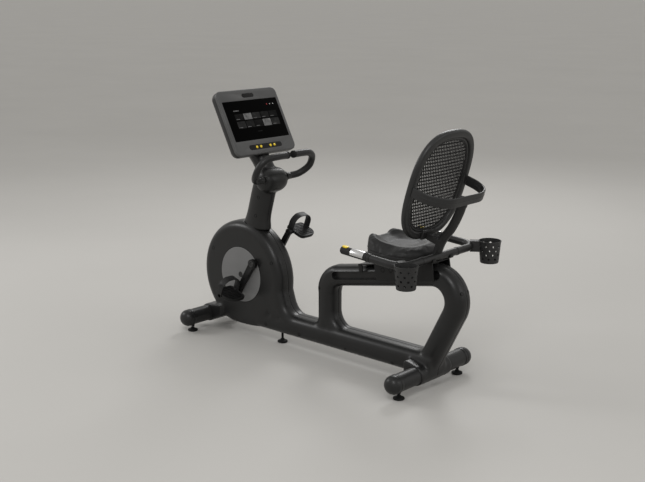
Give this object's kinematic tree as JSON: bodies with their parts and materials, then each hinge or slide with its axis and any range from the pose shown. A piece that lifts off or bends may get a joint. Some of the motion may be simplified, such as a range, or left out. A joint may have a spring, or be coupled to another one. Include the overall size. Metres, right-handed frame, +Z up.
{
  "type": "recumbent exercise bike",
  "caption": "Stationary recumbent exercise bike with a round drive housing, cranks and pedals, a touch console, and a sliding seat with a mesh backrest and cup holders.",
  "frame": {"origin": "on the floor below the middle of the bounding box", "axes": "+X forward, towards the console and the pedals; +Y to the rider's left; +Z up"},
  "size_m": [1.583, 0.667, 1.1787],
  "materials": {
    "tube_paint": "satin powder coat",
    "cap_plastic": "satin moulded",
    "foot_rubber": "matt",
    "wheel_rubber": "matt",
    "shroud_plastic": "satin moulded, charcoal",
    "disc_plastic": "satin grey",
    "bright_steel": "machined",
    "crank_steel": "satin black",
    "pedal_plastic": "fine grain",
    "strap_plastic": "ribbed strap",
    "console_plastic": "satin",
    "bezel_plastic": "satin dark grey",
    "screen_glass": "glossy dark display",
    "gloss_black": "glossy",
    "yellow_button": "glossy yellow",
    "seat_cover": "synthetic leather over foam",
    "back_frame_plastic": "satin moulded",
    "mesh_plastic": "open moulded mesh",
    "grip_rubber": "soft grip",
    "pulse_metal": "brushed",
    "cup_plastic": "satin, perforated in the look"
  },
  "bodies": {
    "frame": {"front_stabiliser": "tube_paint", "rear_stabiliser": "tube_paint", "front_left_end_cap": "cap_plastic", "front_right_end_cap": "cap_plastic", "rear_left_end_cap": "cap_plastic", "rear_right_end_cap": "cap_plastic", "front_left_foot": "foot_rubber", "front_right_foot": "foot_rubber", "rear_left_foot": "foot_rubber", "rear_right_foot": "foot_rubber", "middle_foot": "foot_rubber", "wheel_bracket": "tube_paint", "left_shroud": "shroud_plastic", "right_shroud": "shroud_plastic", "left_disc_cover": "disc_plastic", "right_disc_cover": "disc_plastic", "flywheel": "bright_steel", "mast_cover": "shroud_plastic", "handlebar_pod": "shroud_plastic", "console_neck": "shroud_plastic", "left_handlebar": "tube_paint", "right_handlebar": "tube_paint", "console_back": "console_plastic", "console_bezel": "bezel_plastic", "screen": "screen_glass", "badge_plate": "gloss_black", "button_panel": "gloss_black", "console_buttons": "yellow_button"},
    "crank": {"crank_axle": "bright_steel", "left_crank": "crank_steel", "right_crank": "crank_steel"},
    "left_pedal": {"left_pedal": "pedal_plastic", "left_pedal_strap": "strap_plastic"},
    "right_pedal": {"right_pedal": "pedal_plastic", "right_pedal_strap": "strap_plastic"},
    "seat": {"seat_carriage": "tube_paint", "carriage_rollers": "bright_steel", "seat_bracket": "tube_paint", "bar_cradles": "tube_paint", "seat_cushion": "seat_cover", "backrest_post": "tube_paint", "backrest_frame": "back_frame_plastic", "backrest_mesh": "mesh_plastic", "grab_handle": "back_frame_plastic", "seat_handlebar": "tube_paint", "left_grip": "grip_rubber", "right_grip": "grip_rubber", "pulse_plates": "pulse_metal", "grip_buttons": "yellow_button", "left_cup_bracket": "cup_plastic", "right_cup_bracket": "cup_plastic", "left_cup_holder": "cup_plastic", "right_cup_holder": "cup_plastic", "adjust_lever": "tube_paint"},
    "left_transport_wheel": {"left_transport_wheel": "wheel_rubber"},
    "right_transport_wheel": {"right_transport_wheel": "wheel_rubber"}
  },
  "joints": [
    {"name": "crank_turn", "type": "hinge", "parent": "frame", "child": "crank", "pos_m": [0.3725, 0, 0.374], "axis": [0, 1, 0], "continuous": true},
    {"name": "left_pedal_turn", "type": "hinge", "parent": "crank", "child": "left_pedal", "pos_m": [0.46618, 0.14, 0.22975], "axis": [0, 1, 0], "continuous": true},
    {"name": "right_pedal_turn", "type": "hinge", "parent": "crank", "child": "right_pedal", "pos_m": [0.27882, -0.14, 0.51825], "axis": [0, 1, 0], "continuous": true},
    {"name": "seat_slide", "type": "slide", "parent": "frame", "child": "seat", "axis": [0.9837, 0, -0.1797], "range_m": [-0.03, 0.25]},
    {"name": "left_transport_wheel_turn", "type": "hinge", "parent": "frame", "child": "left_transport_wheel", "pos_m": [0.7665, 0.105, 0.046], "axis": [0, 1, 0], "continuous": true},
    {"name": "right_transport_wheel_turn", "type": "hinge", "parent": "frame", "child": "right_transport_wheel", "pos_m": [0.7665, -0.105, 0.046], "axis": [0, 1, 0], "continuous": true}
  ]
}
